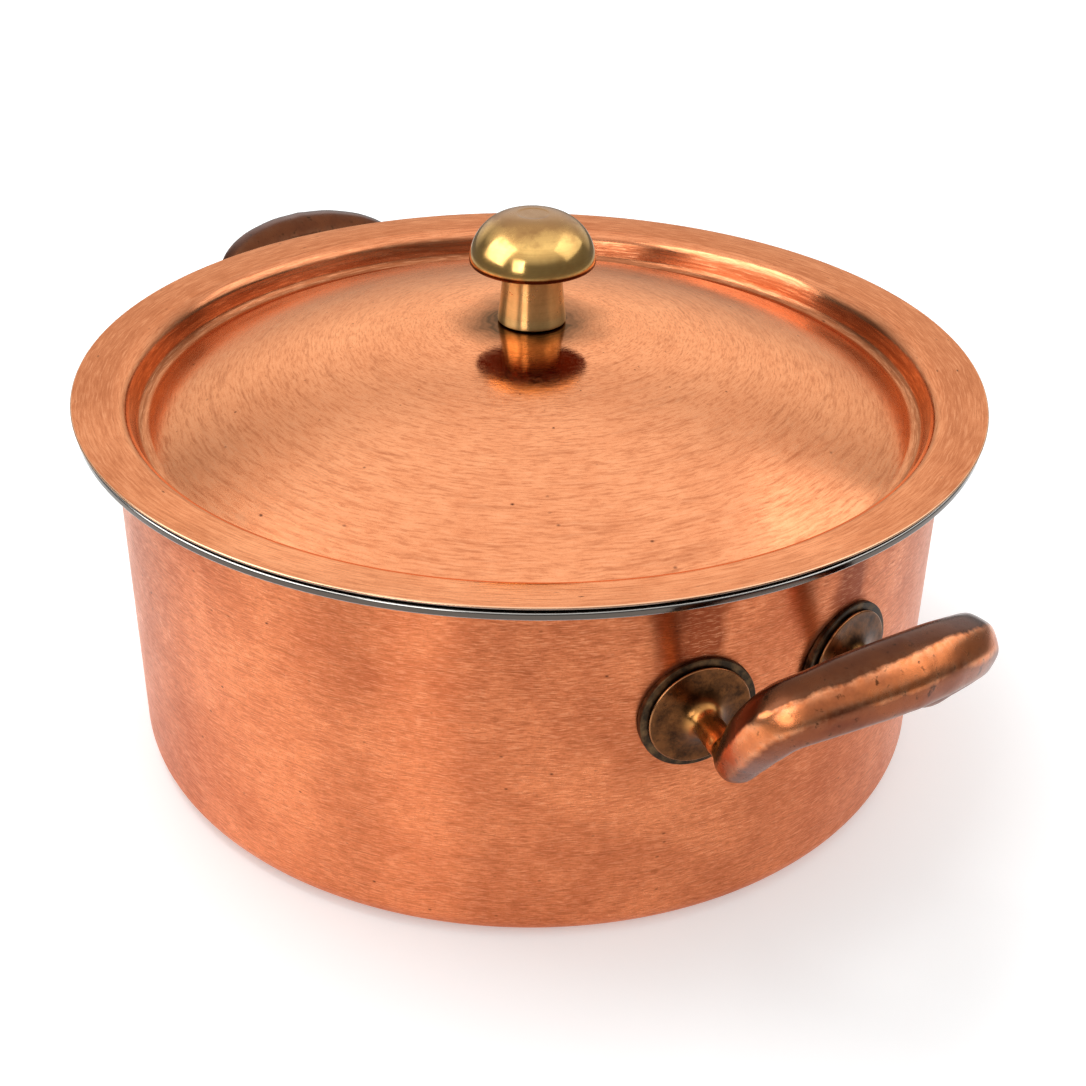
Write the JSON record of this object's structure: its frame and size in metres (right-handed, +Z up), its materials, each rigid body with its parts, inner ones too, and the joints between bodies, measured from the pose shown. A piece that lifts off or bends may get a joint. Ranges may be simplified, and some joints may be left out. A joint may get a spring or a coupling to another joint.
{
  "type": "casserole pot",
  "caption": "Round flat-bottomed copper casserole with a flanged domed lid, mushroom knob and two cast loop handles, for cooking and serving.",
  "frame": {"origin": "centre of the pot's flat base, on the surface that it stands on", "axes": "+Z up along the pot's axis, +X and -X towards the middle of the two handles' grips"},
  "size_m": [0.3458, 0.2672, 0.1601],
  "materials": {
    "pot_copper": "copper, satin brushed level round the wall, with fine scratches and dark pits",
    "lid_copper": "copper, satin brushed in circles about the knob, bright enough to mirror it softly",
    "lining_steel": "satin, circular brushed, with a bright rolled rim",
    "knob_brass": "turned and polished, with fine turning rings and a little tarnish",
    "handle_bronze": "cast, hand dressed, with a red-brown patina worn bright on the facets",
    "backing_bronze": "oxidised dark brown",
    "rivet_steel": "satin"
  },
  "bodies": {
    "pot": {"pot_body": "pot_copper", "pot_lining": "lining_steel", "handle_right": "handle_bronze", "handle_left": "handle_bronze", "backing_disc_right_front": "backing_bronze", "backing_disc_right_back": "backing_bronze", "backing_disc_left_front": "backing_bronze", "backing_disc_left_back": "backing_bronze", "rivet_right_front": "rivet_steel", "rivet_right_back": "rivet_steel", "rivet_left_front": "rivet_steel", "rivet_left_back": "rivet_steel"},
    "lid": {"lid_shell": "lid_copper", "lid_lining": "lining_steel", "knob_cap": "knob_brass", "knob_stem": "knob_brass", "knob_washer": "rivet_steel", "knob_screw": "rivet_steel"}
  },
  "joints": [
    {"name": "lid_lift", "type": "slide", "parent": "pot", "child": "lid", "axis": [0, 0, 1], "range_m": [0, 0.15]}
  ]
}
